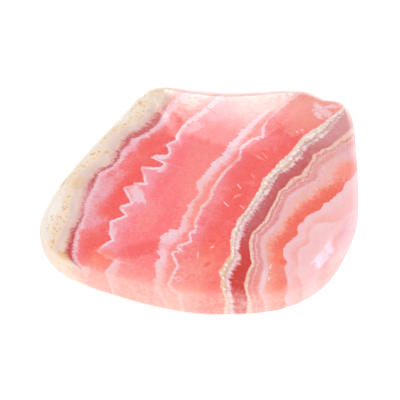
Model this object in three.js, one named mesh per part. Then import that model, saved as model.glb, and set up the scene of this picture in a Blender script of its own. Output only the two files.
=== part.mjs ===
// A polished slice of banded rhodochrosite, lying on its flat sawn back.
// It is one solid stone: a free-form slab with tumbled, rounded edges, a gently crowned
// face that thins towards its far edge and its near right corner, and a flat underside.
// Millimetres, +Z up. The origin is on the underside, in the middle of the stone's box.

import * as THREE from "three";

// Heights above the underside
const FACE_HEIGHT = 8.8; // the polished face, at its highest
const RIM_HEIGHT = 3.9; // the level where the stone is widest
const RIM_SWAY = 0.35; // how far that level rises and dips on its way round
const RIM_SWAY_COUNT = 2; // how often it does so
const RIM_SWAY_TURN = 0.9; // radians that the first crest is turned by

// How the face falls away from its highest part: distance where it starts, and mm of fall per mm squared
const FAR_FALL_START = 1.9;
const FAR_FALL = 0.011;
const CORNER_FALL_START = 8.5;
const CORNER_FALL = 0.0095;
const LEFT_FALL_START = 10.0;
const LEFT_FALL = 0.006;
const LEFT_FALL_LEAN = 0.6; // mm that the left fall's direction leans to the near side per mm to the left

// The long soft waves that tumbling leaves on the face, along x and across it
const WAVE_HEIGHT = 0.07;
const WAVE_LENGTH = 13.0;
const WAVE_SHIFT = 0.6; // radians
const CROSS_WAVE_LENGTH = 10.0;
const CROSS_WAVE_SKEW = 0.3; // mm in y per mm in x

// How far the foot's rounding reaches in under the stone
const FOOT_ROUNDING = 2.3;

// Mesh fineness
const STATIONS = 104; // round the rim
const SHOULDER_STEPS = 6; // from the rim up to the face
const FOOT_STEPS = 4; // from the rim down to the underside
const FACE_RINGS = [0.88, 0.74, 0.58, 0.42, 0.26, 0.12]; // share of the way out from the middle
const UNDERSIDE_RINGS = [0.45];

// The widest outline, seen from above: x, y, and how far the shoulder's rounding reaches in there
const OUTLINE = [
  [22.2, -1.2, 2.0],
  [22.2, 4.8, 1.7],
  [22.05, 10.2, 1.8],
  [21.6, 13.0, 2.0],
  [20.2, 14.5, 2.2],
  [18.5, 14.45, 2.2],
  [17.4, 15.35, 2.3],
  [15.8, 16.4, 2.6],
  [12.4, 16.7, 2.8],
  [8.2, 16.5, 3.0],
  [3.6, 16.5, 3.0],
  [-1.2, 17.0, 2.8],
  [-4.8, 17.5, 2.4],
  [-7.0, 17.2, 2.2],
  [-8.9, 15.6, 2.0],
  [-12.3, 10.7, 1.9],
  [-16.0, 5.8, 1.9],
  [-19.0, 1.4, 1.9],
  [-21.2, -2.4, 1.8],
  [-22.2, -5.7, 1.6],
  [-21.7, -8.6, 1.5],
  [-19.9, -11.1, 1.4],
  [-16.8, -12.8, 1.4],
  [-11.8, -14.7, 1.6],
  [-6.4, -16.3, 1.8],
  [-0.6, -17.35, 1.9],
  [5.2, -17.45, 2.0],
  [10.4, -16.9, 2.2],
  [14.4, -15.5, 2.4],
  [17.6, -13.1, 2.5],
  [20.2, -9.1, 2.4],
  [21.8, -5.1, 2.2],
];

// How far the face has fallen: it grows with the square of the distance past the start
function fall(distance, start, rate) {
  const past = Math.max(0, distance - start);
  return rate * past * past;
}

// Height of the polished face above the point x, y
function faceHeight(x, y) {
  const towardsCorner = (x - y) / Math.SQRT2;
  const towardsLeft = (-x - LEFT_FALL_LEAN * y) / Math.hypot(1, LEFT_FALL_LEAN);
  const wave = Math.sin(x / WAVE_LENGTH + WAVE_SHIFT);
  const crossWave = Math.sin((y - CROSS_WAVE_SKEW * x) / CROSS_WAVE_LENGTH);
  return (
    FACE_HEIGHT +
    WAVE_HEIGHT * wave * crossWave -
    fall(y, FAR_FALL_START, FAR_FALL) -
    fall(towardsCorner, CORNER_FALL_START, CORNER_FALL) -
    fall(towardsLeft, LEFT_FALL_START, LEFT_FALL)
  );
}

// Level of the widest outline in the direction of x, y
function rimHeight(x, y) {
  return RIM_HEIGHT + RIM_SWAY * Math.sin(RIM_SWAY_COUNT * Math.atan2(y, x) + RIM_SWAY_TURN);
}

// The rings of the stone from the middle of the underside, out round the rim, to the middle of the face.
// part: the foot is below the rim and the shoulder above it, with the face inside the shoulder
// out: share of the way from the middle to the rounding, and 1 all through the rounding
// inset: share of the rounding's width that the ring stands in from the rim
// rise: share of the height, from underside to rim in the foot and from rim to face in the shoulder
function stoneRings() {
  const quarter = Math.PI / 2;
  const rings = [{ part: "foot", out: 0, inset: 1, rise: 0 }];
  for (const out of UNDERSIDE_RINGS) rings.push({ part: "foot", out, inset: 1, rise: 0 });
  for (let step = 0; step < FOOT_STEPS; step++) {
    const angle = (quarter * step) / FOOT_STEPS;
    rings.push({ part: "foot", out: 1, inset: 1 - Math.sin(angle), rise: 1 - Math.cos(angle) });
  }
  for (let step = 0; step <= SHOULDER_STEPS; step++) {
    const angle = (quarter * step) / SHOULDER_STEPS;
    rings.push({ part: "shoulder", out: 1, inset: 1 - Math.cos(angle), rise: Math.sin(angle) });
  }
  for (const out of FACE_RINGS) rings.push({ part: "shoulder", out, inset: 1, rise: 1 });
  rings.push({ part: "shoulder", out: 0, inset: 1, rise: 1 });
  return rings;
}

// A turned disc, pulled out to the stone's outline and pressed to its face and foot
function stoneGeometry() {
  const corners = OUTLINE.map(([x, y, shoulder]) => new THREE.Vector3(x, y, shoulder));
  const outline = new THREE.CatmullRomCurve3(corners, true, "centripetal");
  const stations = outline.getSpacedPoints(STATIONS);
  const rings = stoneRings();

  const profile = rings.map(
    ({ part, out, rise }) => new THREE.Vector2(out, part === "foot" ? rise - 1 : rise),
  );
  const disc = new THREE.LatheGeometry(profile, STATIONS);

  const position = disc.getAttribute("position");
  for (let i = 0; i < position.count; i++) {
    const station = stations[Math.floor(i / rings.length)];
    const { part, out, inset, rise } = rings[i % rings.length];
    const reach = Math.hypot(station.x, station.y);
    const rounding = part === "foot" ? FOOT_ROUNDING : station.z;
    const share = out * (1 - (rounding * inset) / reach);
    const x = station.x * share;
    const y = station.y * share;
    const rim = rimHeight(station.x, station.y);
    const z = part === "foot" ? rim * rise : rim + (faceHeight(x, y) - rim) * rise;
    position.setXYZ(i, x, y, z);
  }
  disc.deleteAttribute("normal");
  disc.deleteAttribute("uv");
  return disc;
}

const rhodochrosite = new THREE.MeshStandardMaterial({
  color: new THREE.Color(0.93, 0.5, 0.47),
  roughness: 0.12,
  metalness: 0,
});

const slice = new THREE.Mesh(stoneGeometry(), rhodochrosite);
slice.name = "rhodochrosite_slice";

const part = new THREE.Group();
part.add(slice);

export default part;
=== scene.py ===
import math

import bmesh
import bpy
from bpy.props import FloatProperty, FloatVectorProperty, PointerProperty
from bpy.types import Operator, Panel, PropertyGroup
from mathutils import Color, Matrix, Vector


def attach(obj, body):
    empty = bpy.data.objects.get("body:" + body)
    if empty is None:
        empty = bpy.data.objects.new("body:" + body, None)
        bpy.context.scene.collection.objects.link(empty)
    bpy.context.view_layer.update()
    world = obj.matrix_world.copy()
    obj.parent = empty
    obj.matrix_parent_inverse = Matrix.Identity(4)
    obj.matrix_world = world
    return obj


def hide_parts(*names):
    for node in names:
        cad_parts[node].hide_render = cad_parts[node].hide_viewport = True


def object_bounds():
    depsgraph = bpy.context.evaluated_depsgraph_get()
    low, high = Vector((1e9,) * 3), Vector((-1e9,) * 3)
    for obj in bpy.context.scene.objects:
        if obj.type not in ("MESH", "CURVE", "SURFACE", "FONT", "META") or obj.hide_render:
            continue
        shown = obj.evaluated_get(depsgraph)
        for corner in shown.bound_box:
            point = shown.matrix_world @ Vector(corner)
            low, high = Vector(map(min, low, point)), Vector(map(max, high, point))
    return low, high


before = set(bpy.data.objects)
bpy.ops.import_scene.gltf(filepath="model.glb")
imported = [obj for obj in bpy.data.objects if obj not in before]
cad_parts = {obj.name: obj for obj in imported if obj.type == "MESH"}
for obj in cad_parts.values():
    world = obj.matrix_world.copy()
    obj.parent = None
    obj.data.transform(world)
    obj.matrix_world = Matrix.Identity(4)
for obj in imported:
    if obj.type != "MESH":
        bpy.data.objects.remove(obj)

bl_info = {
    "name": "Rhodochrosite slice",
    "version": (1, 0, 0),
    "blender": (4, 5, 0),
    "location": "3D Viewport > Sidebar > Stone",
    "description": "A polished slice of banded rhodochrosite on a plain studio floor",
    "category": "Add Mesh",
}

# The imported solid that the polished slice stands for
SOLID = "rhodochrosite_slice"
BODY = "root"
CAD_LOW, CAD_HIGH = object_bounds()

MM = 0.001
PER_MM = 1 / MM

# The photograph's frame and the camera that took it
PHOTO_WIDTH = 400
SENSOR = 36.0
LENS = 135.0
CAMERA_ELEVATION = math.radians(63)
CAMERA_DISTANCE = 210 * MM
AIM = Vector((0, -0.9 * MM, 4.3 * MM))

# The layers run across the slice from its near edge to its far edge, turned by this much to the right
LAYER_TURN = math.radians(20)
# They lean through the thickness: this far towards the far edge for each step down
LAYER_LEAN = 1 / math.tan(CAMERA_ELEVATION)
# The level of the face where the layers are laid out
FACE_LEVEL = 8.6
# The seams' curves cover these stretches along and across the layers, in millimetres
ALONG_START = -26.0
ALONG_END = 26.0
ACROSS_START = -28.0
ACROSS_END = 30.0

# Seams between the layers, from the left, as columns and rows of the photograph
CREAM_TO_ROSE = [
    (186, 78), (179, 87), (172, 94), (164, 104), (157, 112), (152, 117), (146, 124), (140, 129),
    (127, 134), (122, 143), (116, 153), (110, 163), (97, 171), (88, 181), (84, 194), (80, 209), (79, 219),
    (71, 230), (67, 245), (64, 255), (72, 262), (80, 268), (79, 290),
]
ROSE_TO_LACE = [
    (200, 78), (188, 89), (180, 95), (170, 102), (166, 109), (163, 116), (158, 123), (151, 129),
    (143, 135), (131, 139), (129, 145), (122, 150), (119, 158), (112, 167), (98, 173), (95, 184),
    (89, 195), (85, 204), (84, 217), (80, 224), (75, 235), (73, 245), (72, 256), (74, 262), (81, 268),
    (80, 290),
]
ZIGZAG = [
    (232, 80), (216, 98), (211, 102), (204, 109), (196, 115), (189, 120), (183, 127), (176.5, 136.6),
    (177.6, 139.5), (175.9, 140.9), (170.2, 143.5), (166.7, 145.2), (169.6, 148.4), (170.2, 153),
    (167.9, 155.8), (153.8, 156.3), (155.8, 159), (163.8, 161.6), (165, 165.6), (162, 168), (153, 168.5),
    (141.8, 167.5), (143.8, 173.6), (146, 183.9), (134, 183.4), (135.7, 185.6), (124.4, 188.1),
    (132.5, 203.3), (120, 207), (127, 215.8), (111.3, 221.8), (110.3, 233), (113.5, 240), (104.8, 245),
    (97.2, 251), (115.7, 260.8), (105.9, 272.2), (109.2, 284), (112, 310),
]
TOOTH_ROOTS = [
    (232, 80), (216, 98), (204, 109), (192, 122), (182, 133), (172, 150), (168, 163), (163, 173),
    (150, 186), (146, 205), (130, 216), (120, 230), (118, 245), (118, 260), (112, 275), (113, 290),
    (113, 310),
]
LACE_LEFT = [
    (290, 92), (277, 102), (260, 115), (245, 128), (230, 143), (224, 153), (213, 163), (204, 173),
    (196, 184), (199, 194), (187.5, 205.4), (189, 210), (183.7, 214.5), (181.4, 220.7), (178.3, 229),
    (170.7, 229.4), (164.5, 233.7), (159.2, 241.3), (157.7, 250.5), (159.2, 257.4), (154.6, 265.8),
    (156, 272.7), (153.4, 280.3), (153.8, 288), (158.4, 295), (166, 312),
]
LACE_RIGHT = [
    (300, 90), (286, 102), (270, 114), (255, 128), (240, 143), (233, 155), (222, 166), (213, 176),
    (204, 187), (202, 195), (195, 202), (193.6, 210), (188.3, 221.4), (189, 226), (182.9, 233.7),
    (177.5, 241.3), (169, 246), (167.6, 257.4), (164.5, 267.3), (163.8, 276.5), (160, 290), (170, 312),
]
WHITE_LINE = [
    (310, 82), (301, 93), (288, 102), (278, 110), (268, 119), (263, 128), (263, 136), (251, 140),
    (241, 148), (240, 158), (231, 166), (224, 173), (217, 182), (212, 191), (209.7, 200), (202, 206.9),
    (199.7, 213), (195.9, 220.7), (195.9, 229.8), (189.8, 233.7), (190.9, 241.3), (183.7, 244.4),
    (177.5, 246.7), (180.6, 250.5), (172.2, 252.8), (175.2, 259.7), (177.9, 265.8), (173, 275),
    (168.4, 284.2), (173, 291), (179.8, 295.6), (181.4, 312),
]
ROPE = [
    (362, 90), (343.7, 106), (335, 113.4), (327, 119.4), (318.3, 126), (310.2, 130.8), (302.9, 136.8),
    (297.5, 142.2), (293.5, 146.9), (288, 154.3), (279.4, 161), (272, 170.3), (263.3, 177.7),
    (257.7, 190), (250, 204), (237.9, 220), (231.2, 231.5), (230, 244), (230, 254), (225.2, 261.2),
    (218.5, 271.5), (220.9, 278.2), (219.7, 285.5), (222.1, 294), (225.2, 301.8), (224, 316),
]
ROPE_TO_DARK_ROSE = [
    (358, 100), (339, 118), (327, 133.5), (315, 141.5), (304.9, 146.9), (302.9, 152.9), (292, 167),
    (285.5, 171), (278, 175), (272, 185.7), (265.4, 195), (246.4, 223.6), (239.7, 241.2), (238.5, 251.5),
    (242, 258.8), (236, 267.3), (230.6, 275.8), (230, 280.6), (232, 294), (236, 316),
]
BEIGE_LINE = [
    (368, 116), (353, 126.8), (347, 132), (340.4, 137.5), (333.7, 142.9), (329.7, 146.9), (322.3, 148.9),
    (317.6, 152.9), (312.9, 154.3), (311.6, 158.9), (308.2, 165), (303.5, 169.7), (300.9, 175),
    (293.5, 177), (288.8, 181), (285.5, 186.4), (278, 191.8), (276, 198.5), (264.5, 220), (258.5, 226.7),
    (252.4, 232), (248.8, 242.4), (250, 255), (251.8, 263.6), (247, 272), (243.9, 284.2), (245.8, 292.7),
    (248.2, 301.8), (247.6, 316),
]
LILAC_LINE = [
    (372, 140), (352.4, 149.6), (340.4, 155), (331, 161.6), (321.6, 168.3), (317.6, 179), (306.9, 185.7),
    (297.5, 190.4), (291, 195), (286.6, 200.8), (284, 211), (281, 219), (273, 228), (263.3, 236.2),
    (261.5, 245.5), (262.7, 256.4), (266.4, 264.2), (263.3, 274.5), (259, 286.7), (260.3, 294.5),
    (264.5, 301.8), (268, 316),
]
SALMON_TO_ORANGE = [
    (366, 150), (347, 162.3), (339.7, 172.3), (333, 183.7), (323.6, 189), (310.8, 199), (301.9, 203.4),
    (298, 210.4), (292.3, 215.5), (286, 221.9), (284.7, 229.5), (278.3, 236), (272, 246), (271, 262),
    (273, 280), (275, 300), (276, 316),
]
ORANGE_TO_PINK = [
    (376, 160), (357, 172.3), (352.4, 177), (346.4, 182.4), (342.7, 190.6), (336.3, 195), (329.3, 202),
    (324.2, 203.4), (320.4, 209.8), (315.9, 211.7), (305.7, 216.8), (303.8, 221.3), (299.3, 225),
    (297.4, 229.5), (298, 234.6), (291, 240.4), (285.3, 246), (282.8, 249.3), (282.8, 255), (287.2, 262),
    (284, 267.8), (286, 276), (288.5, 282.5), (287, 300), (288, 316),
]
SHELL_CONTOUR = [
    (392, 190), (366, 204), (350, 214), (340, 221), (332, 223), (326, 223), (316, 224), (310, 231),
    (309, 236), (311, 241), (307.5, 245), (300, 249), (298, 256), (299, 264), (297.5, 271), (300, 277.5),
    (304, 290), (308, 316),
]

# In millimetres: the least that two neighbouring corners of a seam are apart along it, the step that
# a seam's slope is read over, and the width of the first lace
SEAM_STEP = 0.02
SLOPE_STEP = 0.12
LACE_WIDTH = 0.6

# How many of each fit in a millimetre, or nearly so
CLOUDS_PER_MM = 0.5
MOTTLES_PER_MM = 1.3
FLECKS_PER_MM = 2.6
GRAINS_PER_MM = 6.0
BEADS_PER_MM = 2.3
GRIT_PER_MM = 4.2
DOTS_PER_MM = 2.6
SPECKS_PER_MM = 1.5
# The same for the spots of the corals, and the fineness and roughness of their rims
PALE_SPOTS_PER_MM = 0.9
DEEP_SPOTS_PER_MM = 1.2
SPOT_DETAIL = 4.0
SPOT_ROUGHNESS = 0.65
# And for fibres, which cross the layers, and strands, which follow them: along, across and upwards
FIBRE_RATES = (3.0, 0.6, 0.5)
STRAND_RATES = (0.35, 1.6, 0.6)

# How far noise moves the seams, in millimetres: flecks all of them, clouds and flecks those that aren't
# crisp, and fibres the jagged ones
CRISP_FLECKS = 0.25
SOFT_CLOUDS = 0.4
SOFT_FLECKS = 0.2
JAGGED_FIBRES = 1.3
# Veins run where folded noise is nearly 0, in patches that fade in over this stretch of other noise
VEIN_WIDTH = 0.035
VEIN_PATCHES = (-0.05, 0.2)

# Distances in millimetres over which the thin lines fade out, and distances squared for marks on an
# oval, which is 1 on its rim
LINE_FADE = (0.3, 0.08)
SPOT_FADE = (1.7, 0.4)
CRACK_FADE = (1.6, 0.5)
FLAKE_FADE = (1.6, 0.6)
BUBBLE_FADE = (0.6, 0.2)
# How strongly the small marks show
MARK_STRENGTH = 0.75
BUBBLE_STRENGTH = 0.7

# The sides start where the surface has turned down this far, told by the height of its normal
WALL = "wall"
WALL_START = 0.97
WALL_END = 0.3

# Height of the polish's long waves and of its orange skin, in millimetres
WAVE_HEIGHT = 0.01
SKIN_HEIGHT = 0.0015
# Red light spreads the furthest under the surface
GLOW_COLOUR = (1.0, 0.45, 0.35)
STONE_IOR = 1.6
FLOOR_ROUGHNESS = 0.9

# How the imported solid's faces are joined before they are smoothed
MERGE_DISTANCE = 0.001 * MM
FLAT_ANGLE = math.radians(30)
SQUARE_ANGLE = math.radians(60)
SMOOTH_LEVELS = 2

# Soft spots in the layers: colour, column and row in the photograph, half length and half width in
# millimetres, tilt in degrees, and strength
SPOTS = [
    ("lace", 138, 195, 1.5, 0.8, 120, 0.75),
    ("lace", 161, 157.5, 1.0, 0.28, 0, 0.9),
    ("lace", 162, 169, 0.8, 0.4, 40, 0.8),
    ("lace", 113, 231, 0.8, 0.5, 60, 0.7),
    ("lace", 113, 270, 1.5, 0.6, 70, 0.65),
    ("lace", 192, 128, 1.7, 0.7, 25, 0.35),
    ("lace", 85, 271, 0.9, 0.6, 70, 0.6),
    ("pearl", 302, 272, 1.3, 0.8, 30, 0.6),
    ("pearl", 322, 227, 1.3, 0.6, 20, 0.6),
    ("pink", 96, 222, 2.0, 0.6, 35, 0.45),
    ("pink", 132, 147, 1.1, 0.7, 45, 0.55),
    ("pink", 160, 130, 1.0, 0.5, 45, 0.4),
    ("pink", 118, 228, 1.6, 0.8, 20, 0.3),
    ("pink", 222, 112, 2.2, 1.0, 40, 0.45),
    ("deep_coral", 112, 204, 2.2, 1.2, 50, 0.6),
    ("deep_coral", 134, 178, 2.2, 0.9, 50, 0.45),
    ("deep_coral", 154, 140, 2.4, 0.9, 50, 0.45),
    ("deep_coral", 90, 248, 1.6, 1.2, 70, 0.5),
    ("deep_coral", 140, 250, 3.2, 1.0, 15, 0.6),
    ("deep_coral", 170, 170, 4.0, 1.0, 60, 0.25),
    ("deep_coral", 246, 166, 3.4, 1.7, 50, 0.55),
    ("deep_coral", 234, 202, 3.0, 1.3, 60, 0.5),
    ("deep_coral", 214, 236, 2.6, 1.4, 70, 0.35),
    ("deep_coral", 280, 126, 2.2, 1.0, 45, 0.4),
    ("flame", 103, 260, 1.7, 1.1, 30, 0.7),
    ("flame", 96, 253, 1.4, 1.0, 30, 0.35),
    ("dark_rose", 73, 262.5, 1.2, 0.14, -44, 0.45),
    ("orange", 262, 122, 2.6, 0.45, 48, 0.35),
    ("flame", 278, 258, 1.1, 0.6, 80, 0.55),
    ("deep_coral", 283, 262, 0.5, 0.4, 0, 0.5),
    ("flame", 213, 250, 2.6, 1.4, 60, 0.35),
    ("salmon", 200, 266, 2.0, 1.2, 20, 0.35),
    ("orange", 282, 288, 1.2, 0.8, 70, 0.25),
    ("salmon", 198, 200, 4.2, 2.0, 60, 0.3),
    ("salmon", 148, 218, 2.8, 1.4, 60, 0.25),
    ("salmon", 300, 123, 2.4, 1.5, 30, 0.5),
    ("salmon", 300, 104, 2.0, 1.0, 30, 0.5),
    ("salmon", 345, 172, 1.6, 1.2, 60, 0.5),
    ("salmon", 332, 276, 2.6, 0.9, 45, 0.5),
    ("salmon", 294, 291, 2.0, 1.0, 10, 0.35),
    ("lilac", 350, 153, 1.8, 1.4, 0, 0.6),
    ("lilac", 349, 235, 2.0, 1.1, 75, 0.55),
    ("lace", 264, 280, 2.0, 0.35, 78, 0.6),
    ("grey", 141, 117, 0.5, 0.2, 45, 0.2),
    ("grey", 149, 110, 0.4, 0.2, 50, 0.25),
    ("ochre", 62, 256, 0.9, 0.5, -40, 0.5),
    ("salmon", 75, 274, 1.0, 0.6, -40, 0.55),
    ("ochre", 78, 183, 1.1, 0.7, 60, 0.35),
    ("ochre", 63, 182, 0.9, 0.25, 60, 0.75),
    ("ochre", 150, 88, 2.6, 0.5, 10, 0.35),
]

# Small pale and red flakes, in the same order but with no strength
FLAKES = [
    ("lace", 226, 204, 0.55, 0.1, -50),
    ("lace", 239, 186, 0.45, 0.1, -55),
    ("lace", 198, 255, 0.5, 0.08, 85),
    ("lace", 212, 247, 0.3, 0.12, 25),
    ("lace", 302, 130, 0.22, 0.14, 0),
    ("lace", 297, 132, 0.18, 0.12, 0),
    ("salmon", 302, 104, 0.6, 0.14, 65),
    ("salmon", 237, 196, 0.5, 0.16, 30),
    ("salmon", 242, 207, 0.4, 0.14, -40),
    ("salmon", 253, 176, 0.3, 0.14, -60),
    ("salmon", 261, 158, 0.9, 0.07, -38),
    ("salmon", 257, 157, 0.7, 0.07, -38),
    ("salmon", 265, 156, 0.7, 0.07, -55),
    ("deep_coral", 211, 241, 0.4, 0.2, 0),
    ("deep_coral", 207, 264, 0.5, 0.25, 30),
    ("deep_coral", 279, 124, 0.45, 0.14, -40),
    ("deep_coral", 265, 152, 0.6, 0.2, -20),
    ("coral", 208, 108, 0.7, 0.1, -40),
    ("coral", 214, 112, 0.8, 0.1, -45),
    ("deep_coral", 163, 135, 0.35, 0.14, 0),
    ("orange", 236, 188, 0.25, 0.2, 0),
    ("ochre", 107, 152, 0.35, 0.2, 0),
    ("ochre", 93, 154, 0.45, 0.16, 20),
    ("ochre", 140, 102, 0.3, 0.2, 40),
    ("shell", 266.5, 273, 0.3, 0.1, 80),
    ("milk", 270.5, 267, 0.4, 0.12, 70),
    ("milk", 269, 279, 0.3, 0.1, 60),
    ("flame", 282, 288, 0.4, 0.2, 70),
    ("salmon", 319.8, 108.6, 0.3, 0.08, -35),
    ("salmon", 321.3, 112.6, 0.4, 0.1, -35),
]

# The strokes of a white healed crack: column and row, half length and half width, and tilt
HEALED_CRACK = [
    (323.0, 110.0, 1.4, 0.6, -40),
    (318.0, 114.0, 0.8, 0.4, -50),
    (318.5, 106.0, 0.7, 0.35, -65),
    (332.5, 106.0, 1.1, 0.28, 10),
]

# A small bubble mark near the edge: column, row, half length and half width
BUBBLE = (178.7, 279, 0.36, 0.3)

# The large soft light above the camera
KEY_ELEVATION = math.radians(66)
KEY_DISTANCE = 0.6
KEY_WIDTH = 0.5
KEY_HEIGHT = 0.34

# The soft light behind the stone, as azimuths and elevations in degrees: azimuth 0 is straight beyond
# the stone. Its left side and its slanted upper edge are sharp and its body fades out.
SOFTBOX_LEFT = -1.6
SOFTBOX_FADE = (2.2, 5.0)
SOFTBOX_BOTTOM = (-2.0, 8.0)
SOFTBOX_TOP = (34.0, 47.0)
SOFTBOX_EDGE = 50.0
SOFTBOX_EDGE_RISE = 1.7
SOFTBOX_SIDE_BLUR = 0.5
SOFTBOX_EDGE_BLUR = 0.4
SOFTBOX_EDGE_SHARE = 0.5
# The surroundings brighten from this far in front of the stone to straight behind it
BACK_GLOW_REACH = (-0.2, 1.0)

# The window's two panes on the right, each a strip between two sides that bend at the same points:
# azimuths and elevations in degrees. A pane's edge blurs over this distance, in radians.
UPPER_PANE = (
    [(68, 66.5), (83, 60.5), (99.5, 37.5), (103, 14.5)],
    [(73, 64), (91, 50), (99.5, 25), (100, 4)],
)
LOWER_PANE = (
    [(73, 66), (96.5, 48), (104.5, 16)],
    [(82, 65), (108, 44.5), (116, 18)],
)
PANE_SOFTNESS = 0.002


def linear(red, green, blue):
    """A colour given out of 255 as a screen shows it, as the amounts of light that Blender works with"""
    screen = Color((red / 255, green / 255, blue / 255))
    return tuple(screen.from_srgb_to_scene_linear())


def blend(start, end, share):
    """The colour that lies this share of the way from one colour to another"""
    return tuple(a + (b - a) * share for a, b in zip(start, end))


def colour_setting(name, description, *value):
    """A colour in the sidebar, with its default out of 255"""
    return FloatVectorProperty(
        name=name, description=description, subtype="COLOR", size=3, min=0, max=1, default=linear(*value)
    )


def share_setting(name, description, default):
    """A share from 0 to 1 in the sidebar"""
    return FloatProperty(
        name=name, description=description, subtype="FACTOR", min=0, max=1, default=default
    )


def light_setting(name, description, default):
    """A brightness in the sidebar"""
    return FloatProperty(name=name, description=description, min=0, default=default)


class SliceSettings(PropertyGroup):
    """Colours and finish of the stone"""

    cream: colour_setting("Cream", "Oldest layer, along the left edge", 230, 206, 192)
    # Palest cream, set brighter still as painted light on the left sides, which get little light
    cream_edge_and_painted_light: colour_setting("Cream edge", "Palest part of the cream layer", 248, 240, 229)
    ochre: colour_setting("Ochre", "Rusty specks in the cream layer", 232, 176, 84)
    grey: colour_setting("Grey", "Fine grit in the pale layers", 166, 142, 138)
    dusty_rose: colour_setting("Dusty rose", "Layer beside the cream", 210, 108, 108)
    dark_rose: colour_setting("Dark rose", "Darkest layer, right of the rope seam", 198, 92, 94)
    deep_red: colour_setting("Deep red", "Dark rose where it turns red near the edge", 206, 52, 44)
    lace: colour_setting("Lace", "White seams between the coral layers", 243, 208, 212)
    coral: colour_setting("Coral", "Main colour of the stone", 244, 108, 104)
    deep_coral: colour_setting("Deep coral", "Coral at its strongest", 243, 84, 77)
    rose_coral: colour_setting("Rose coral", "Middle layer, right of the zigzag", 252, 118, 120)
    pink: colour_setting("Pink", "Young growth beside a seam", 242, 158, 170)
    salmon: colour_setting("Salmon", "Soft orange pink", 246, 160, 142)
    orange: colour_setting("Orange", "Coral layer near the right end", 238, 106, 86)
    flame: colour_setting("Flame", "Brightest orange patches", 255, 116, 82)
    beige: colour_setting("Beige", "Thin line beside the dark rose", 231, 182, 158)
    lilac: colour_setting("Lilac", "Thin cool layer near the right end", 230, 178, 183)
    shell: colour_setting("Shell pink", "Pale layer at the right end", 242, 178, 172)
    bead: colour_setting("Bead", "Beads of the rope seam", 248, 234, 229)
    pearl: colour_setting("Pearl", "Palest clouds of the right end", 244, 200, 198)
    # Milky colour of the sides and of some flakes; it also paints reflection on the sides, the rims and the
    # far slope
    milk: colour_setting("Milk", "Haze of the ground sides", 255, 222, 207)
    gloss: share_setting("Gloss roughness", "Roughness of the polished face", 0.045)
    side_roughness: share_setting("Side roughness", "Roughness added on the sides", 0.45)
    # How much the sides are paled: partly the stone's own milkiness, partly painted reflection of the bright
    # surroundings
    haze_and_sheen: share_setting("Side haze", "How milky the sides are", 0.3)
    glow: share_setting("Glow", "Share of light that passes under the surface", 0.25)
    glow_depth: FloatProperty(
        name="Glow depth", description="How far light spreads under the surface", default=1.4 * MM, min=0,
        unit="LENGTH",
    )


class StageSettings(PropertyGroup):
    """Floor, lights and camera"""

    floor_size: FloatProperty(
        name="Floor size", description="Side of the square floor", default=3.0, min=0.1, unit="LENGTH"
    )
    floor_colour: colour_setting("Floor", "Colour of the plain floor", 252, 251, 250)
    floor_glow: light_setting("Floor glow", "Light that the floor gives off", 0.3)
    sky: light_setting("Surroundings", "Brightness all round the stone", 0.54)
    key_light: light_setting("Key light", "Brightness of the large front light", 2.85)
    softbox: light_setting("Softbox", "Brightness of the light behind the stone", 4.6)
    back_glow: light_setting("Back glow", "How much brighter it is behind the stone", 0.12)
    window_light: light_setting("Window", "Brightness of the window's panes", 6.5)
    window_colour: colour_setting("Window colour", "Colour of the daylight in the window", 205, 215, 255)


class Value:
    """A number that changes over the surface; sums and products of such numbers add their Math nodes"""

    def __init__(self, graph, socket):
        self.graph = graph
        self.socket = socket

    def maths(self, operation, *values):
        """The result of a Math node"""
        settings = {"operation": operation}
        return self.graph.value("ShaderNodeMath", settings, dict(enumerate(values)))

    def __add__(self, other):
        return self.maths("ADD", self, other)

    __radd__ = __add__

    def __sub__(self, other):
        return self.maths("SUBTRACT", self, other)

    def __rsub__(self, other):
        return self.maths("SUBTRACT", other, self)

    def __mul__(self, other):
        return self.maths("MULTIPLY", self, other)

    __rmul__ = __mul__

    def __truediv__(self, other):
        return self.maths("DIVIDE", self, other)

    def __pow__(self, other):
        return self.maths("POWER", self, other)

    def __abs__(self):
        return self.maths("ABSOLUTE", self)

    def step(self, start, end, full=1.0):
        """A soft step that is 0 at the start and full at the end, which may lie either way round"""
        rising = start < end
        low, high = (start, end) if rising else (end, start)
        first, last = (0.0, full) if rising else (full, 0.0)
        sockets = {"Value": self, "From Min": low, "From Max": high, "To Min": first, "To Max": last}
        return self.graph.value("ShaderNodeMapRange", {"interpolation_type": "SMOOTHSTEP"}, sockets)


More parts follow.
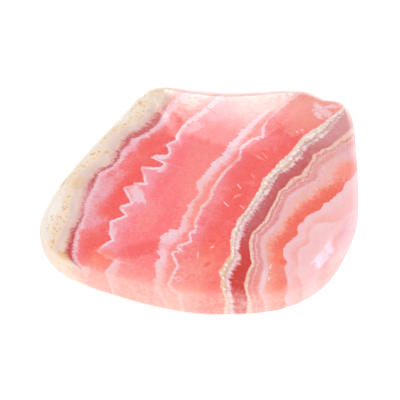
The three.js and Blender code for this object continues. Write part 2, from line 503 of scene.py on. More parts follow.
class Graph:
    """The nodes of one material, or of the surroundings"""

    def __init__(self, owner):
        owner.use_nodes = True
        self.tree = owner.node_tree
        self.tree.nodes.clear()

    @staticmethod
    def find(sockets, key):
        """The socket of this place, identifier or name"""
        if isinstance(key, int):
            return sockets[key]
        for socket in sockets:
            if socket.identifier == key:
                return socket
        return sockets[key]

    def add(self, kind, settings=None, sockets=None):
        """A node of this type, with its settings made first and then its sockets' values and links"""
        node = self.tree.nodes.new(kind)
        for name, setting in (settings or {}).items():
            if name == "stops":
                self.set_stops(node.color_ramp, setting)
            elif name == "points":
                self.set_points(node, setting)
            else:
                setattr(node, name, setting)
        for key, value in (sockets or {}).items():
            socket = self.find(node.inputs, key)
            if isinstance(value, Value):
                self.tree.links.new(value.socket, socket)
            elif isinstance(value, bpy.types.NodeSocket):
                self.tree.links.new(value, socket)
            else:
                socket.default_value = value
        return node

    @staticmethod
    def set_stops(ramp, stops):
        """Gives a colour ramp these places and colours"""
        for _ in range(len(stops) - len(ramp.elements)):
            ramp.elements.new(1.0)
        for element, (place, colour) in zip(ramp.elements, stops):
            element.position = place
            element.color = (*colour, 1.0)

    @staticmethod
    def set_points(node, points):
        """Gives a curve these corners, joined by straight lines"""
        curve = node.mapping.curves[0]
        for _ in range(len(points) - len(curve.points)):
            curve.points.new(1.0, 1.0)
        for corner, place in zip(curve.points, points):
            corner.location = place
            corner.handle_type = "VECTOR"
        node.mapping.update()

    def value(self, kind, settings, sockets, output=0):
        """A number that a node gives"""
        node = self.add(kind, settings, sockets)
        return Value(self, self.find(node.outputs, output))

    def ramp(self, value, *stops):
        """The colour at this place along the stops"""
        node = self.add("ShaderNodeValToRGB", {"stops": stops}, {"Fac": value})
        return node.outputs["Color"]

    def mix(self, factor, first, second):
        """The first colour, mixed with this much of the second"""
        settings = {"data_type": "RGBA"}
        colours = {"A_Color": self.colour(first), "B_Color": self.colour(second)}
        node = self.add("ShaderNodeMix", settings, {"Factor_Float": factor, **colours})
        return self.find(node.outputs, "Result_Color")

    @staticmethod
    def colour(value):
        """A plain colour with its alpha added, or a link as it is"""
        return value if isinstance(value, (Value, bpy.types.NodeSocket)) else (*value, 1.0)

    def vector(self, *parts):
        """Three numbers as one vector"""
        node = self.add("ShaderNodeCombineXYZ", {}, dict(enumerate(parts)))
        return node.outputs["Vector"]

    def noise(self, place, scale, detail=2.0, roughness=0.5):
        """Cloudy noise around 0, mostly between -0.3 and 0.3"""
        sockets = {"Vector": place, "Scale": scale, "Detail": detail, "Roughness": roughness}
        return self.value("ShaderNodeTexNoise", {}, sockets, "Fac") - 0.5

    def cells(self, place, scale):
        """Distance to the middle of the nearest of many scattered cells, and a number of that cell's own"""
        node = self.add("ShaderNodeTexVoronoi", {}, {"Vector": place, "Scale": scale})
        parts = self.add("ShaderNodeSeparateColor", {}, {"Color": node.outputs["Color"]})
        return Value(self, node.outputs["Distance"]), Value(self, parts.outputs["Red"])


def camera_place():
    """Where the camera stands, and the way it looks"""
    forward = Vector((0, math.cos(CAMERA_ELEVATION), -math.sin(CAMERA_ELEVATION)))
    return AIM - forward * CAMERA_DISTANCE, forward


def face_place(column, row):
    """Where a point of the photograph lies on the level of the face, in millimetres"""
    camera, forward = camera_place()
    sideways = Vector((1, 0, 0))
    upwards = sideways.cross(forward)
    per_pixel = SENSOR / (LENS * PHOTO_WIDTH)
    right = (column - PHOTO_WIDTH / 2) * per_pixel
    up = (PHOTO_WIDTH / 2 - row) * per_pixel
    ray = forward + sideways * right + upwards * up
    point = camera + ray * ((FACE_LEVEL * MM - camera.z) / ray.z)
    return point.x * PER_MM, point.y * PER_MM


def turned(x, y, angle):
    """A place, as distances along and across lines that are turned to the right of +Y by this angle"""
    along = y * math.cos(angle) + x * math.sin(angle)
    across = x * math.cos(angle) - y * math.sin(angle)
    return along, across


class Layering:
    """Distances in the stone, in millimetres, that its pattern is drawn on"""

    def __init__(self, graph):
        self.graph = graph
        coordinates = graph.add("ShaderNodeTexCoord")
        parts = graph.add("ShaderNodeSeparateXYZ", {}, {0: coordinates.outputs["Object"]})
        self.x, depth, self.height = (Value(graph, socket) * PER_MM for socket in parts.outputs)
        self.place = graph.vector(self.x, depth, self.height)
        self.y = depth + (self.height - FACE_LEVEL) * LAYER_LEAN
        self.face = graph.vector(self.x, self.y, 1.0)
        self.along, self.plain = turned(self.x, self.y, LAYER_TURN)
        self.cloud = graph.noise(self.place, CLOUDS_PER_MM, 1.0)
        self.mottle = graph.noise(self.place, MOTTLES_PER_MM)
        self.fleck = graph.noise(self.place, FLECKS_PER_MM)
        self.grain = graph.noise(self.place, GRAINS_PER_MM, 1.0)
        self.crisp = self.plain + self.fleck * CRISP_FLECKS
        self.across = self.crisp + self.cloud * SOFT_CLOUDS + self.fleck * SOFT_FLECKS
        self.fibre = graph.noise(self.stretched(FIBRE_RATES), 1.0)
        self.jagged = self.across + self.fibre * JAGGED_FIBRES
        self.strand = graph.noise(self.stretched(STRAND_RATES), 1.0, 3.0)
        folds = abs(self.fleck + self.mottle * 0.8)
        self.veins = folds.step(VEIN_WIDTH, 0.0) * (self.cloud + self.grain).step(*VEIN_PATCHES)
        self.wall = graph.value("ShaderNodeAttribute", {"attribute_name": WALL}, {}, "Fac")
        self.seams = {}

    def stretched(self, rates):
        """The place, with its distances along, across and upwards multiplied by these rates"""
        parts = zip((self.along, self.plain, self.height), rates)
        return self.graph.vector(*(distance * rate for distance, rate in parts))

    def seam(self, corners, ahead=0.0):
        """How far across the layers this seam lies, here or a step ahead along it"""
        key = (id(corners), ahead)
        if key not in self.seams:
            points = []
            last = -math.inf
            for corner in reversed(corners):
                along, across = turned(*face_place(*corner), LAYER_TURN)
                last = max(along, last + SEAM_STEP)
                share_along = (last - ALONG_START) / (ALONG_END - ALONG_START)
                share_across = (across - ACROSS_START) / (ACROSS_END - ACROSS_START)
                points.append((share_along, share_across))
            share = (self.along + (ahead - ALONG_START)) / (ALONG_END - ALONG_START)
            curve = self.graph.value("ShaderNodeFloatCurve", {"points": points}, {"Value": share})
            self.seams[key] = curve * (ACROSS_END - ACROSS_START) + ACROSS_START
        return self.seams[key]

    def beside(self, corners):
        """Distance to the right of a seam, square to it, also where the seam turns sharply"""
        rise = (self.seam(corners, SLOPE_STEP) - self.seam(corners, -SLOPE_STEP)) / (2 * SLOPE_STEP)
        return (self.crisp - self.seam(corners)) / (rise * rise + 1) ** 0.5

    def past(self, value, corners, softness, shift=0.0):
        """0 on the left of a seam and 1 on its right"""
        return (value - self.seam(corners) - shift).step(-softness / 2, softness / 2)

    def share(self, value, left, right):
        """0 at the left seam and 1 at the right one"""
        return (value - self.seam(left)) / (self.seam(right) - self.seam(left))

    def reach(self, column, row, length, width, tilt):
        """Square of the distance from a point of the photograph, 1 on the rim of an oval tilted up from +X"""
        middle = Vector(face_place(column, row))
        angle = math.radians(tilt)
        lengthways = Vector((math.cos(angle), math.sin(angle)))
        total = 0.0
        for axis, size in ((lengthways, length), (lengthways.orthogonal(), width)):
            line = (axis.x / size, axis.y / size, -middle.dot(axis) / size)
            settings = {"operation": "DOT_PRODUCT"}
            away = self.graph.value("ShaderNodeVectorMath", settings, {0: self.face, 1: line}, "Value")
            total = away * away + total
        return total


def cream_layer(layers, looks):
    """Pale outer layer with rusty specks and faint streaks along it, brightened towards its outer edge with
    painted light
    """
    graph = layers.graph
    depth = layers.seam(CREAM_TO_ROSE) - layers.across + layers.strand * 1.2
    # Towards the outer edge the cream turns to the cream edge colour: partly the layer's own pale cream,
    # partly painted light
    colour = graph.ramp(
        depth / 4,
        (0.0, blend(looks.cream, looks.dusty_rose, 0.4)),
        (0.1, blend(looks.cream, looks.dusty_rose, 0.2)),
        (0.25, blend(looks.cream, looks.dusty_rose, 0.06)),
        (0.5, blend(looks.cream, looks.cream_edge_and_painted_light, 0.3)),
        (0.7, blend(looks.cream, looks.cream_edge_and_painted_light, 0.8)),
        (1.0, looks.cream_edge_and_painted_light),
    )
    tan = blend(looks.cream_edge_and_painted_light, looks.ochre, 0.4)
    band = abs(depth - 2.1 + layers.cloud * 2).step(0.9, 0.2)
    far = layers.along.step(4.0, 9.0)
    near = layers.along.step(-15.0, -18.0)
    colour = graph.mix(band * 0.65, colour, tan)
    streaks = (layers.strand + 0.5).step(0.4, 0.65)
    colour = graph.mix(streaks * (far * 0.3 + near * 0.4 + 0.3), colour, tan)
    # Painted light: a pale yellowish line where the cream layer turns down into the steep sides
    painted_rim_light = layers.wall.step(0.8, 1.0)
    colour = graph.mix(painted_rim_light * 0.6, colour, blend(looks.cream_edge_and_painted_light, looks.ochre, 0.25))
    inner_row = abs(depth - 2.0 + layers.cloud * 2).step(0.8, 0.2)
    outer_row = abs(depth - 3.3 + layers.cloud).step(0.4, 0.15)
    scatter = layers.fleck + layers.mottle * 0.5 + layers.strand * 0.7 + layers.grain * 0.3
    specks = scatter.step(0.08, 0.26)
    return graph.mix(specks * (inner_row + outer_row * 0.7) * 0.85, colour, looks.ochre)


def rose_layer(layers, looks):
    """Dusty rose layer, darker towards its lace and deep red at its near end"""
    graph = layers.graph
    share = layers.share(layers.jagged, CREAM_TO_ROSE, ROSE_TO_LACE)
    colour = graph.ramp(
        share + layers.fleck * 0.8,
        (0.0, blend(looks.dusty_rose, looks.cream, 0.45)),
        (0.4, looks.dusty_rose),
        (0.85, blend(looks.dusty_rose, looks.dark_rose, 0.7)),
        (1.0, looks.dusty_rose),
    )
    far = layers.along.step(5.0, 10.0)
    colour = graph.mix(far * 0.65, colour, blend(looks.salmon, looks.dusty_rose, 0.5))
    colour = graph.mix(layers.along.step(8.0, 11.0) * 0.6, colour, blend(looks.salmon, looks.cream, 0.5))
    middle = layers.along.step(-11.5, -10.0) * layers.along.step(-5.0, -7.5)
    colour = graph.mix(middle * 0.5, colour, blend(looks.pink, looks.lilac, 0.5))
    near = layers.along.step(-12.0, -14.0)
    return graph.mix(near * 0.75, colour, blend(looks.deep_red, looks.dusty_rose, 0.2))


def mottled(layers, colour, pale, deep, amount=1.0):
    """Cloudy spots of a paler and a deeper colour, fine veils and tiny white specks"""
    graph = layers.graph
    pale_spots = graph.noise(layers.place, PALE_SPOTS_PER_MM, SPOT_DETAIL, SPOT_ROUGHNESS)
    deep_spots = graph.noise(layers.place, DEEP_SPOTS_PER_MM, SPOT_DETAIL, SPOT_ROUGHNESS)
    colour = graph.mix(pale_spots.step(0.0, 0.25) * 0.4 * amount, colour, pale)
    colour = graph.mix(deep_spots.step(0.0, 0.25) * 0.5 * amount, colour, deep)
    distance, pick = graph.cells(layers.place, SPECKS_PER_MM)
    specks = distance.step(0.17, 0.08) * pick.step(0.5, 0.7)
    return graph.mix(specks * 0.55 + layers.veins * 0.3, colour, pale)


def first_lace(layers, looks):
    """Dusty white lace between the rose and the first coral, with pink gaps"""
    gaps = (layers.fibre + layers.fleck).step(0.0, 0.2)
    colour = blend(looks.lace, looks.dusty_rose, 0.2)
    return layers.graph.mix(gaps * 0.5, colour, blend(looks.pink, looks.dusty_rose, 0.15))


def first_coral(layers, looks):
    """Coral between the first lace and the zigzag, lilac pink beside the lace and strongest at the zigzag"""
    graph = layers.graph
    depth = layers.across - layers.seam(ROSE_TO_LACE) + layers.cloud * 3 + layers.fleck * 1.5
    colour = graph.ramp(
        depth / 6,
        (0.1, blend(looks.coral, looks.pink, 0.3)),
        (0.35, looks.coral),
        (0.8, blend(looks.coral, looks.deep_coral, 0.3)),
    )
    middle = layers.along.step(-12.5, -10.5) * (layers.along + layers.mottle * 4).step(-1.0, -4.5)
    veil = depth.step(3.6, 1.2) * middle
    colour = graph.mix(veil * 0.85, colour, blend(looks.pink, looks.lilac, 0.65))
    # Towards the far end the coral pales: partly its own salmon and cream, partly painted reflection of the
    # light behind
    far = layers.along.step(6.0, 11.0)
    colour = graph.mix(far * 0.6, colour, blend(looks.salmon, looks.cream, 0.1))
    farthest = (layers.along + layers.fibre * 6 + layers.mottle * 3).step(8.5, 13.0)
    colour = graph.mix(farthest * 0.6, colour, looks.cream_edge_and_painted_light)
    return graph.mix((layers.seam(ZIGZAG) - layers.across).step(2.0, 0.2) * 0.5, colour, looks.deep_coral)


def second_coral(layers, looks):
    """Rose coral right of the zigzag, with pale pink between the teeth, and paler at its far end: partly the
    stone's own pale mottling, partly painted reflection of the light behind
    """
    graph = layers.graph
    depth = layers.across - layers.seam(TOOTH_ROOTS)
    colour = graph.ramp(
        (depth + 2.2) / 8 + layers.cloud * 0.2 + layers.mottle * 0.12,
        (0.0, blend(looks.pink, looks.rose_coral, 0.15)),
        (0.22, blend(looks.pink, looks.rose_coral, 0.4)),
        (0.4, blend(looks.rose_coral, looks.pink, 0.2)),
        (0.7, looks.rose_coral),
    )
    slope = layers.along + layers.plain * 0.3
    # Painted reflection: the far end is paled, partly the stone's own pale colour
    far = (slope + layers.mottle * 4 + layers.fibre * 4).step(7.5, 16.5)
    colour = graph.mix(far * 0.65, colour, blend(looks.milk, looks.cream_edge_and_painted_light, 0.3))
    middle = (slope + layers.mottle * 6).step(-6.0, -1.0) * slope.step(9.0, 3.0) * depth.step(1.0, 4.0)
    colour = graph.mix(middle * 0.35, colour, looks.salmon)
    return graph.mix(layers.beside(ZIGZAG).step(1.0, 0.1) * 0.5, colour, blend(looks.pink, looks.lace, 0.4))


def lace_layer(layers, looks):
    """White lace between the coral layers, with a spiky left edge and clouded with pink"""
    graph = layers.graph
    share = layers.share(layers.across, LACE_LEFT, LACE_RIGHT)
    pinker = blend(looks.lace, looks.rose_coral, 0.35)
    colour = graph.ramp(
        share + layers.fleck,
        (0.0, looks.lace),
        (0.5, blend(looks.lace, pinker, 0.2)),
        (1.1, pinker),
    )
    # Painted reflection: the far end is paled towards milk, partly the lace's own pale colour
    colour = graph.mix(layers.along.step(11.0, 15.0) * 0.7, colour, blend(looks.milk, looks.salmon, 0.2))
    near = layers.along.step(-4.0, -8.0)
    return graph.mix((layers.fleck + 0.5).step(0.3, 0.7) * (near * 0.6 + 0.2), colour, pinker)


def third_coral(layers, looks):
    """Coral between the white line and the rope seam"""
    graph = layers.graph
    depth = layers.across - layers.seam(WHITE_LINE)
    colour = graph.ramp(
        depth / 8 + layers.cloud * 0.15 + layers.mottle * 0.1,
        (0.0, blend(looks.pink, looks.coral, 0.35)),
        (0.1, blend(looks.coral, looks.pink, 0.4)),
        (0.25, blend(looks.coral, looks.pink, 0.1)),
        (0.6, blend(looks.coral, looks.deep_coral, 0.5)),
        (1.0, looks.coral),
    )
    near = (layers.along + layers.mottle * 5).step(-7.0, -14.0)
    colour = graph.mix(near * 0.4, colour, blend(looks.flame, looks.salmon, 0.6))
    far = (layers.along + layers.mottle * 5).step(10.5, 17.0)
    return graph.mix(far * 0.85, colour, blend(looks.salmon, looks.shell, 0.3))


def rope_layer(layers, looks):
    """Beaded cream seam that turns grey and lilac before the dark rose"""
    graph = layers.graph
    far = layers.along.step(-2.0, 4.0)
    width = layers.share(layers.across, ROPE, ROPE_TO_DARK_ROSE)
    share = width * (1 - far * 0.3)
    colour = graph.ramp(
        share + layers.fleck * 0.2,
        (0.0, blend(looks.salmon, looks.ochre, 0.3)),
        (0.08, blend(looks.bead, looks.ochre, 0.3)),
        (0.16, looks.bead),
        (0.34, looks.bead),
        (0.42, blend(looks.beige, looks.ochre, 0.2)),
        (0.52, blend(looks.beige, looks.grey, 0.4)),
        (0.64, blend(looks.lilac, looks.bead, 0.45)),
        (0.88, blend(looks.lilac, looks.bead, 0.2)),
        (1.0, blend(looks.lilac, looks.dark_rose, 0.4)),
    )
    bead_place = graph.vector(layers.along, layers.plain * 0.7, layers.height)
    distance, pick = graph.cells(bead_place, BEADS_PER_MM)
    gaps = distance.step(0.3, 0.6) * share.step(0.05, 0.15) * share.step(0.6, 0.4)
    rusty = blend(looks.beige, looks.ochre, 0.35)
    feather = (layers.fibre + layers.fleck * 0.4).step(-0.05, 0.12) * width.step(0.5, 0.75)
    colour = graph.mix(feather * 0.45, colour, blend(looks.lilac, looks.dark_rose, 0.5))
    colour = graph.mix(gaps * 0.5, colour, blend(looks.beige, looks.grey, 0.2))
    near = layers.along.step(-6.0, -9.0)
    colour = graph.mix((gaps * 0.55 + share.step(0.2, 0.06) * 0.5) * near, colour, rusty)
    grit_distance, grit_pick = graph.cells(layers.place, GRIT_PER_MM)
    inside = share.step(0.3, 0.45) * share.step(0.85, 0.6)
    grit = grit_distance.step(0.6, 0.3) * grit_pick.step(0.45, 0.6) * inside
    colour = graph.mix(grit * (far * 0.5 + 0.25), colour, looks.grey)
    flecks = pick.step(0.6, 0.8) * share.step(0.3, 0.6)
    return graph.mix(flecks * 0.4, colour, looks.bead)


def dark_layer(layers, looks):
    """Dark rose layer that turns red towards the near edge"""
    graph = layers.graph
    share = layers.share(layers.jagged, ROPE_TO_DARK_ROSE, BEIGE_LINE)
    colour = graph.ramp(
        share + layers.fleck * 0.6,
        (0.0, blend(looks.dark_rose, looks.bead, 0.3)),
        (0.15, blend(looks.dark_rose, looks.bead, 0.05)),
        (0.55, looks.dark_rose),
        (1.0, blend(looks.dark_rose, looks.deep_red, 0.3)),
    )
    near = layers.along.step(-4.0, -9.5)
    colour = graph.mix(near, colour, looks.deep_red)
    far = (layers.along + layers.mottle * 8).step(7.0, 14.0)
    colour = graph.mix(far * 0.6, colour, blend(looks.dusty_rose, looks.bead, 0.4))
    clouds = layers.mottle.step(0.0, 0.3) * (0.4 - near * 0.4)
    return graph.mix(clouds, colour, blend(looks.dusty_rose, looks.pink, 0.4))


def striped_layer(layers, looks):
    """Fine pink stripes between the beige and the lilac lines"""
    graph = layers.graph
    far = layers.along.step(1.0, 6.0)
    wobble = layers.cloud * 0.7 + layers.grain * 0.6 + layers.fleck * (far * 0.9 + 0.2)
    share = layers.share(layers.crisp + wobble, BEIGE_LINE, LILAC_LINE)
    stripe = blend(looks.dusty_rose, looks.shell, 0.2)
    gap = blend(looks.shell, looks.dusty_rose, 0.1)
    colour = graph.ramp(
        share,
        (0.0, looks.beige),
        (0.14, blend(looks.beige, looks.bead, 0.5)),
        (0.24, blend(looks.beige, stripe, 0.4)),
        (0.31, stripe),
        (0.4, blend(stripe, gap, 0.3)),
        (0.5, blend(gap, looks.bead, 0.3)),
        (0.58, stripe),
        (0.67, blend(gap, stripe, 0.2)),
        (0.76, stripe),
        (0.88, gap),
        (1.0, looks.lilac),
    )
    blurred = (layers.along + layers.mottle * 8).step(2.0, 8.0) * 0.3 + layers.fleck.step(0.0, 0.2) * 0.3
    colour = graph.mix(blurred, colour, blend(looks.beige, looks.shell, 0.4))
    near = layers.along.step(-8.0, -12.0) * share.step(0.2, 0.35)
    colour = graph.mix(near * 0.4, colour, blend(looks.orange, looks.salmon, 0.5))
    distance, pick = graph.cells(layers.place, DOTS_PER_MM)
    dots = distance.step(0.4, 0.15) * pick.step(0.3, 0.4) * share.step(0.24, 0.12)
    return graph.mix(dots * 0.6, colour, blend(looks.ochre, looks.dusty_rose, 0.4))


def salmon_layer(layers, looks):
    """Soft salmon layer right of the lilac line, mottled with cream and orange near the viewer"""
    graph = layers.graph
    share = layers.share(layers.across, LILAC_LINE, SALMON_TO_ORANGE)
    colour = graph.ramp(
        share + layers.fleck * 0.6,
        (0.0, blend(looks.lilac, looks.bead, 0.2)),
        (0.25, blend(looks.lilac, looks.shell, 0.6)),
        (0.6, blend(looks.shell, looks.beige, 0.3)),
        (1.0, blend(looks.salmon, looks.orange, 0.1)),
    )
    near = layers.along.step(-2.0, -6.0) * share.step(0.3, 0.6)
    colour = graph.mix(near * 0.4, colour, blend(looks.orange, looks.ochre, 0.25))
    return graph.mix(layers.mottle.step(0.02, 0.2) * 0.5, colour, blend(looks.beige, looks.shell, 0.4))


def orange_layer(layers, looks):
    """Orange coral layer with a sharp right edge"""
    graph = layers.graph
    share = layers.share(layers.across, SALMON_TO_ORANGE, ORANGE_TO_PINK)
    colour = graph.ramp(
        share + layers.fleck * 0.6,
        (0.0, blend(looks.orange, looks.salmon, 0.5)),
        (0.35, blend(looks.orange, looks.salmon, 0.1)),
        (1.0, looks.orange),
    )
    near = layers.along.step(-5.0, -9.0)
    far = layers.along.step(4.0, 8.0)
    colour = graph.mix(near * 0.45 + far * 0.4, colour, looks.salmon)
    glow = layers.fleck.step(0.0, 0.25) * near
    return graph.mix(glow * 0.5, colour, blend(looks.orange, looks.ochre, 0.3))


def shell_layer(layers, looks):
    """Pale pink right end with soft contours"""
    graph = layers.graph
    depth = layers.across - layers.seam(ORANGE_TO_PINK) + layers.cloud * 0.8
    colour = graph.ramp(
        depth / 14,
        (0.0, blend(looks.pearl, looks.shell, 0.5)),
        (0.03, blend(looks.pearl, looks.lilac, 0.3)),
        (0.07, blend(looks.shell, looks.pearl, 0.4)),
        (0.12, blend(looks.shell, looks.salmon, 0.3)),
        (0.2, blend(looks.shell, looks.salmon, 0.6)),
        (1.0, blend(looks.shell, looks.pearl, 0.3)),
    )
    pale_end = (layers.along + layers.mottle * 4).step(-2.0, 3.0)
    colour = graph.mix(pale_end * 0.6, colour, looks.pearl)
    inner = layers.across - layers.seam(SHELL_CONTOUR) + layers.fleck * 0.4
    inside = graph.ramp(
        inner / 10,
        (0.0, looks.pearl),
        (0.06, blend(looks.shell, looks.pearl, 0.6)),
        (0.3, blend(looks.shell, looks.pearl, 0.8)),
        (0.38, blend(looks.shell, looks.salmon, 0.2)),
        (0.44, blend(looks.shell, looks.pearl, 0.7)),
        (1.0, looks.pearl),
    )
    return graph.mix(inner.step(-0.2, 0.2), colour, inside)


def all_layers(layers, looks):
    """The layers from left to right"""
    graph = layers.graph
    past = layers.past
    across = layers.across
    jagged = layers.jagged
    frayed = across + layers.fibre * 0.6 + layers.grain * 0.8
    pale = blend(looks.pink, looks.salmon, 0.5)
    between_lines = blend(looks.rose_coral, looks.salmon, 0.5)
    far_salmon_and_sheen = blend(looks.salmon, looks.milk, 0.5)

    colour = cream_layer(layers, looks)
    colour = graph.mix(past(jagged, CREAM_TO_ROSE, 0.9), colour, rose_layer(layers, looks))
    colour = graph.mix(past(frayed, ROSE_TO_LACE, 0.3), colour, first_lace(layers, looks))
    coral = mottled(layers, first_coral(layers, looks), pale, looks.deep_coral)
    wider = layers.along.step(-2.0, 2.0) * 0.35 + layers.mottle * 1.2
    colour = graph.mix(past(frayed - wider, ROSE_TO_LACE, 0.7, LACE_WIDTH), colour, coral)
    coral = mottled(layers, second_coral(layers, looks), pale, looks.coral, 0.7)
    colour = graph.mix(past(layers.crisp, ZIGZAG, 0.12), colour, coral)
    broad = layers.along.step(7.0, 9.5)
    away = abs(layers.beside(ZIGZAG) - broad * 0.3) - broad * 0.25 + layers.fleck * (broad + 0.4)
    colour = graph.mix(away.step(*LINE_FADE) * (1 - broad * 0.45), colour, looks.lace)
    colour = graph.mix(past(jagged, LACE_LEFT, 0.25), colour, lace_layer(layers, looks))
    inner = mottled(layers, between_lines, pale, looks.coral)
    # Painted reflection: the far end of the coral between the lines is paled, partly its own salmon colour
    far_end = layers.along.step(9.0, 14.0)
    inner = graph.mix(far_end * 0.8, inner, far_salmon_and_sheen)
    colour = graph.mix(past(jagged, LACE_RIGHT, 0.9), colour, inner)
    coral = mottled(layers, third_coral(layers, looks), pale, looks.deep_coral)
    colour = graph.mix(past(layers.crisp, WHITE_LINE, 0.15), colour, coral)
    away = abs(layers.beside(WHITE_LINE)) + layers.fleck * 0.7
    colour = graph.mix(away.step(*LINE_FADE) * (0.9 - far_end * 0.4), colour, looks.lace)
    colour = graph.mix(past(across, ROPE, 0.15), colour, rope_layer(layers, looks))
    colour = graph.mix(past(jagged, ROPE_TO_DARK_ROSE, 0.5), colour, dark_layer(layers, looks))
    colour = graph.mix(past(layers.crisp, BEIGE_LINE, 0.2), colour, striped_layer(layers, looks))
    colour = graph.mix(past(across, LILAC_LINE, 0.3), colour, salmon_layer(layers, looks))
    colour = graph.mix(past(jagged, SALMON_TO_ORANGE, 0.5), colour, orange_layer(layers, looks))
    return graph.mix(past(across, ORANGE_TO_PINK, 0.25), colour, shell_layer(layers, looks))


def painted(layers, looks, colour, marks, ragged, fade):
    """The colour with these marks on it, each with its own colour, oval and strength"""
    for name, *oval, strength in marks:
        reach = layers.reach(*oval) + ragged
        colour = layers.graph.mix(reach.step(*fade, strength), colour, getattr(looks, name))
    return colour


def marked(layers, looks, colour):
    """Soft spots, the healed crack's white strokes, small flakes and the bubble"""
    ragged = layers.mottle * 1.8 + layers.fleck * 1.6
    colour = painted(layers, looks, colour, SPOTS, ragged, SPOT_FADE)
    strokes = [("lace", *stroke, MARK_STRENGTH) for stroke in HEALED_CRACK]
    ragged = layers.fleck * 4 + layers.grain * 4
    colour = painted(layers, looks, colour, strokes, ragged, CRACK_FADE)
    flakes = [(*flake, MARK_STRENGTH) for flake in FLAKES]
    colour = painted(layers, looks, colour, flakes, layers.grain * 4, FLAKE_FADE)
    column, row, length, width = BUBBLE
    ring = abs(layers.reach(column, row, length, width, 0) - 1)
    return layers.graph.mix(ring.step(*BUBBLE_FADE, BUBBLE_STRENGTH), colour, looks.lace)


def rounded_edges(layers, looks, colour):
    """Painted light and reflection where the face rounds off: paler near edge, far rim and ground sides,
    partly the stone's own milkiness, with milky veins near the viewer
    """
    graph = layers.graph
    # Painted light: the near rounded edge is paled where it catches light from the surroundings
    pink_side = layers.across.step(7.5, 4.5) * layers.across.step(-12.0, -9.0)
    edge = (layers.y + layers.x * 0.22 + layers.mottle * 5 + layers.fleck * 4).step(-13.0, -18.5)
    colour = graph.mix(edge * pink_side * 0.55, colour, blend(looks.salmon, looks.milk, 0.35))
    near = layers.y.step(-9.0, -14.0) * layers.across.step(-12.0, -9.0)
    veins = (layers.fleck + layers.mottle + layers.grain * 0.6).step(0.02, 0.25)
    milky = blend(looks.milk, looks.salmon, 0.4)
    colour = graph.mix(veins * near * (pink_side * 0.3 + 0.1), colour, milky)
    # Painted light: the far rim is paled towards milk to make up for the shade it falls in
    painted_far_rim_light = layers.wall.step(0.05, 0.5) * layers.y.step(8.0, 12.0) * layers.across.step(-9.0, -7.0)
    colour = graph.mix(painted_far_rim_light * 0.75, colour, looks.milk)
    depth = 1 + layers.mottle * 0.12 + layers.fleck * 0.22 + layers.grain * 0.4 + layers.fibre * 0.08
    colour = graph.add("ShaderNodeGamma", {}, {"Color": colour, "Gamma": depth}).outputs["Color"]
    # The ground sides are paled towards milk: partly the stone's own milkiness, partly painted reflection
    haze_and_sheen = layers.wall * layers.wall * (layers.mottle * 0.6 + layers.fleck * 0.6 + looks.haze_and_sheen)
    return graph.mix(haze_and_sheen, colour, looks.milk)


def stone_material(looks):
    """Polished, slightly translucent stone with its layers, duller on the sides"""
    material = bpy.data.materials.new("banded_rhodochrosite")
    graph = Graph(material)
    layers = Layering(graph)
    colour = rounded_edges(layers, looks, marked(layers, looks, all_layers(layers, looks)))
    relief = layers.cloud * WAVE_HEIGHT + layers.fleck * SKIN_HEIGHT
    bump = graph.add("ShaderNodeBump", {}, {"Height": relief, "Distance": MM, "Strength": 1.0})
    shader = graph.add(
        "ShaderNodeBsdfPrincipled",
        {},
        {
            "Base Color": colour,
            "Roughness": looks.gloss + layers.wall * layers.wall * looks.side_roughness,
            "Normal": bump.outputs["Normal"],
            "IOR": STONE_IOR,
            "Subsurface Weight": looks.glow,
            "Subsurface Radius": GLOW_COLOUR,
            "Subsurface Scale": looks.glow_depth,
        },
    )
    graph.add("ShaderNodeOutputMaterial", {}, {"Surface": shader.outputs["BSDF"]})
    return material


def stone_mesh():
    """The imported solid's faces as one smooth skin, which knows where it turns down into the sides"""
    skin = bmesh.new()
    skin.from_mesh(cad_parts[SOLID].data)
    bmesh.ops.remove_doubles(skin, verts=skin.verts, dist=MERGE_DISTANCE)
    bmesh.ops.join_triangles(
        skin, faces=skin.faces, angle_face_threshold=FLAT_ANGLE, angle_shape_threshold=SQUARE_ANGLE
    )
    skin.normal_update()
    wall = skin.verts.layers.float.new(WALL)
    for vertex in skin.verts:
        share = (WALL_START - vertex.normal.z) / (WALL_START - WALL_END)
        vertex[wall] = min(max(share, 0.0), 1.0)
    for face in skin.faces:
        face.smooth = True
    mesh = bpy.data.meshes.new("polished_slice")
    skin.to_mesh(mesh)
    skin.free()
    return mesh


class STONE_OT_slice(Operator):
    """Makes the polished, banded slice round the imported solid"""

    bl_idname = "stone.slice"
    bl_label = "Polished slice"

    def execute(self, context):
        looks = context.scene.stone_slice
        piece = bpy.data.objects.new("polished_slice", stone_mesh())
        context.scene.collection.objects.link(piece)
        smooth = piece.modifiers.new("smooth", "SUBSURF")
        smooth.levels = smooth.render_levels = SMOOTH_LEVELS
        piece.data.materials.append(stone_material(looks))
        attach(piece, BODY)
        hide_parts(SOLID)
        return {"FINISHED"}


def floor_material(stage):
    """Plain white that gives off a little light, as a light table does"""
    material = bpy.data.materials.new("floor_white")
    graph = Graph(material)
    colour = (*stage.floor_colour, 1.0)
    sockets = {
        "Base Color": colour,
        "Roughness": FLOOR_ROUGHNESS,
        "Emission Color": colour,
        "Emission Strength": stage.floor_glow,
    }
    shader = graph.add("ShaderNodeBsdfPrincipled", {}, sockets)
    graph.add("ShaderNodeOutputMaterial", {}, {"Surface": shader.outputs["BSDF"]})
    return material


def make_floor(stage):
    """A plain square floor at the level of the stone's underside"""
    sheet = bmesh.new()
    bmesh.ops.create_grid(sheet, x_segments=1, y_segments=1, size=stage.floor_size / 2)
    mesh = bpy.data.meshes.new("floor")
    sheet.to_mesh(mesh)
    sheet.free()
    mesh.materials.append(floor_material(stage))
    floor = bpy.data.objects.new("floor", mesh)
    floor.location.z = CAD_LOW.z
    bpy.context.scene.collection.objects.link(floor)


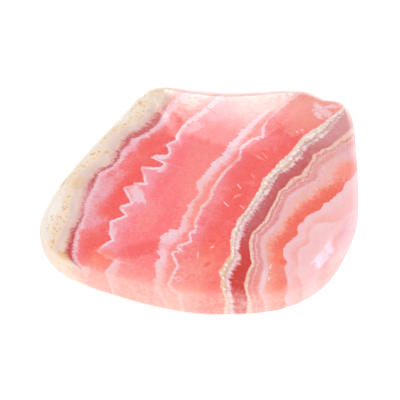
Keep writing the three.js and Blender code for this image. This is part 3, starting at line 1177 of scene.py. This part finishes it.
def make_key_light(stage):
    """A large soft light above the camera that isn't seen in the polish"""
    away = Vector((0, -math.cos(KEY_ELEVATION), math.sin(KEY_ELEVATION)))
    lamp = bpy.data.lights.new("key", "AREA")
    lamp.shape = "RECTANGLE"
    lamp.size = KEY_WIDTH
    lamp.size_y = KEY_HEIGHT
    lamp.energy = stage.key_light * math.pi * KEY_WIDTH * KEY_HEIGHT
    light = bpy.data.objects.new("key", lamp)
    light.visible_glossy = False
    turn = away.to_track_quat("Z", "Y").to_matrix().to_4x4()
    light.matrix_world = Matrix.Translation(AIM + away * KEY_DISTANCE) @ turn
    bpy.context.scene.collection.objects.link(light)


def direction(azimuth, elevation):
    """The way outwards from the stone at these angles in degrees"""
    turn = math.radians(azimuth)
    lift = math.radians(elevation)
    return Vector((math.sin(turn) * math.cos(lift), math.cos(turn) * math.cos(lift), math.sin(lift)))


def facet_mask(graph, outwards, ways):
    """1 in the directions inside the corners' ways, and 0 elsewhere"""
    middle = sum(ways, Vector())
    glass = 1.0
    for first, second in zip(ways, ways[1:] + ways[:1]):
        edge = first.cross(second).normalized()
        edge *= math.copysign(1, edge.dot(middle))
        sockets = {0: outwards, 1: edge}
        inside = graph.value("ShaderNodeVectorMath", {"operation": "DOT_PRODUCT"}, sockets, "Value")
        glass = inside.step(-PANE_SOFTNESS, PANE_SOFTNESS) * glass
    return glass


def pane_mask(graph, outwards, sides):
    """1 in the directions inside a pane, which is a row of facets between its two sides, and 0 elsewhere"""
    left, right = ([direction(*corner) for corner in side] for side in sides)
    facets = zip(left, right, right[1:], left[1:])
    return sum(facet_mask(graph, outwards, ways) for ways in facets)


def make_surroundings(stage):
    """Even white all round, with a bright soft patch low behind the stone and a window on its right"""
    world = bpy.data.worlds.new("studio")
    graph = Graph(world)
    outwards = graph.add("ShaderNodeTexCoord").outputs["Generated"]
    parts = graph.add("ShaderNodeSeparateXYZ", {}, {0: outwards})
    x, y, z = (Value(graph, socket) for socket in parts.outputs)
    azimuth = x.maths("ARCTAN2", x, y) * math.degrees(1)
    elevation = z.maths("ARCSINE", z) * math.degrees(1)
    left = azimuth.step(SOFTBOX_LEFT - SOFTBOX_SIDE_BLUR, SOFTBOX_LEFT + SOFTBOX_SIDE_BLUR)
    right = azimuth.step(SOFTBOX_FADE[1], SOFTBOX_FADE[0])
    slant = elevation - azimuth * SOFTBOX_EDGE_RISE
    edge = slant.step(SOFTBOX_EDGE + SOFTBOX_EDGE_BLUR, SOFTBOX_EDGE - SOFTBOX_EDGE_BLUR)
    body = elevation.step(*SOFTBOX_BOTTOM) * elevation.step(SOFTBOX_TOP[1], SOFTBOX_TOP[0])
    bright = edge * SOFTBOX_EDGE_SHARE + body * (1 - SOFTBOX_EDGE_SHARE)
    softbox = left * right * bright * stage.softbox
    panes = pane_mask(graph, outwards, UPPER_PANE) + pane_mask(graph, outwards, LOWER_PANE)
    back = y.step(*BACK_GLOW_REACH) * stage.back_glow
    strength = softbox + panes * stage.window_light + back + stage.sky
    colour = graph.mix(panes, (1, 1, 1), stage.window_colour)
    background = graph.add("ShaderNodeBackground", {}, {"Color": colour, "Strength": strength})
    graph.add("ShaderNodeOutputWorld", {}, {"Surface": background.outputs["Background"]})
    bpy.context.scene.world = world


def make_camera():
    """The camera at the photograph's angle"""
    place, forward = camera_place()
    lens = bpy.data.cameras.new("camera")
    lens.lens = LENS
    lens.sensor_width = SENSOR
    camera = bpy.data.objects.new("camera", lens)
    camera.matrix_world = Matrix.Translation(place) @ forward.to_track_quat("-Z", "Y").to_matrix().to_4x4()
    bpy.context.scene.collection.objects.link(camera)
    bpy.context.scene.camera = camera


class STONE_OT_stage(Operator):
    """Makes the floor, the soft lights and the camera"""

    bl_idname = "stone.stage"
    bl_label = "Studio stage"

    def execute(self, context):
        stage = context.scene.stone_stage
        make_floor(stage)
        make_key_light(stage)
        make_surroundings(stage)
        make_camera()
        context.scene.view_settings.view_transform = "Standard"
        return {"FINISHED"}


class STONE_PT_panel(Panel):
    """Lists the steps that build the stone and its stage"""

    bl_idname = "STONE_PT_panel"
    bl_label = "Rhodochrosite slice"
    bl_space_type = "VIEW_3D"
    bl_region_type = "UI"
    bl_category = "Stone"

    def draw(self, context):
        layout = self.layout
        for step, settings in ((STONE_OT_slice, "stone_slice"), (STONE_OT_stage, "stone_stage")):
            layout.operator(step.bl_idname)
            group = getattr(context.scene, settings)
            for name in group.bl_rna.properties.keys():
                if name not in ("rna_type", "name"):
                    layout.prop(group, name)


CLASSES = (SliceSettings, StageSettings, STONE_OT_slice, STONE_OT_stage, STONE_PT_panel)


def register():
    for cls in CLASSES:
        bpy.utils.register_class(cls)
    bpy.types.Scene.stone_slice = PointerProperty(type=SliceSettings)
    bpy.types.Scene.stone_stage = PointerProperty(type=StageSettings)


def unregister():
    del bpy.types.Scene.stone_stage
    del bpy.types.Scene.stone_slice
    for cls in reversed(CLASSES):
        bpy.utils.unregister_class(cls)


def main():
    register()
    bpy.ops.stone.stage()
    bpy.ops.stone.slice()


if __name__ == "__main__":
    main()
